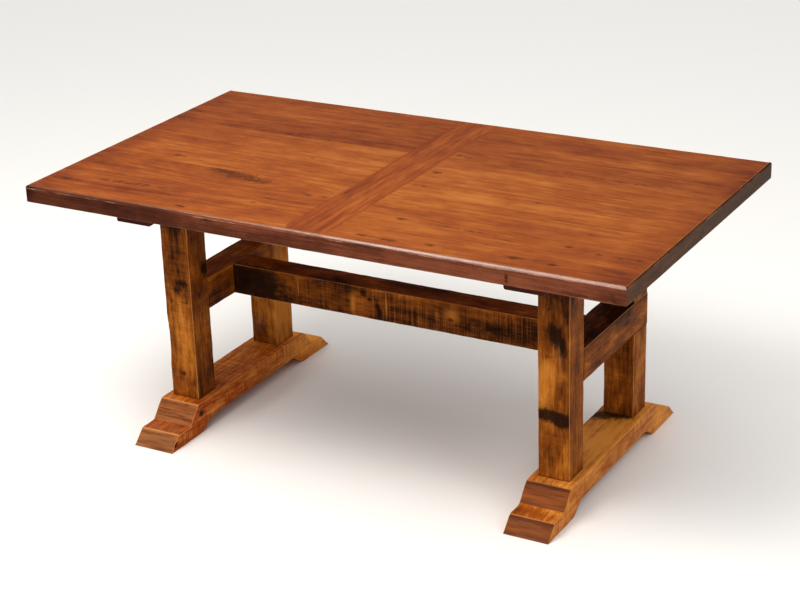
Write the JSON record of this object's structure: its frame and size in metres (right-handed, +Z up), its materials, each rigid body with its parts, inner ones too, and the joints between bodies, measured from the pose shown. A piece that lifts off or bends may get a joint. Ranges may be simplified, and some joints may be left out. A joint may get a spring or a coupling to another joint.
{
  "type": "trestle dining table",
  "caption": "Rectangular trestle dining table in reclaimed timber, with a cross board in the middle of its top and two stepped-foot trestles joined by a long stretcher.",
  "frame": {"origin": "on the floor under the centre of the top", "axes": "+X along the table's length, +Y from front to rear, +Z up"},
  "size_m": [1.829, 1.041, 0.8],
  "materials": {
    "top_planks": "warm orange-brown stain under satin varnish",
    "cross_board": "red-brown stain under satin varnish",
    "edging": "dark red-brown stain under satin varnish",
    "trestle_timber": "rough-sawn weathered timber, amber stain, satin",
    "foot_timber": "orange-brown stain, worn arrises, satin",
    "underside_timber": "dark brown stain, matt",
    "steel": "zinc plated"
  },
  "bodies": {
    "root": {"centre_batten": "underside_timber", "centre_board": "cross_board", "cleat_left": "underside_timber", "cleat_right": "underside_timber", "cleat_screws": "steel", "cross_rail_left": "trestle_timber", "cross_rail_right": "trestle_timber", "edging_front": "edging", "edging_left": "edging", "edging_rear": "edging", "edging_right": "edging", "foot_left": "foot_timber", "foot_right": "foot_timber", "lag_bolt_washers": "steel", "lag_bolts": "steel", "plank_left_1": "top_planks", "plank_left_2": "top_planks", "plank_left_3": "top_planks", "plank_left_4": "top_planks", "plank_left_5": "top_planks", "plank_left_6": "top_planks", "plank_right_1": "top_planks", "plank_right_2": "top_planks", "plank_right_3": "top_planks", "plank_right_4": "top_planks", "plank_right_5": "top_planks", "plank_right_6": "top_planks", "post_front_left": "trestle_timber", "post_front_right": "trestle_timber", "post_rear_left": "trestle_timber", "post_rear_right": "trestle_timber", "stretcher": "trestle_timber"}
  },
  "joints": []
}
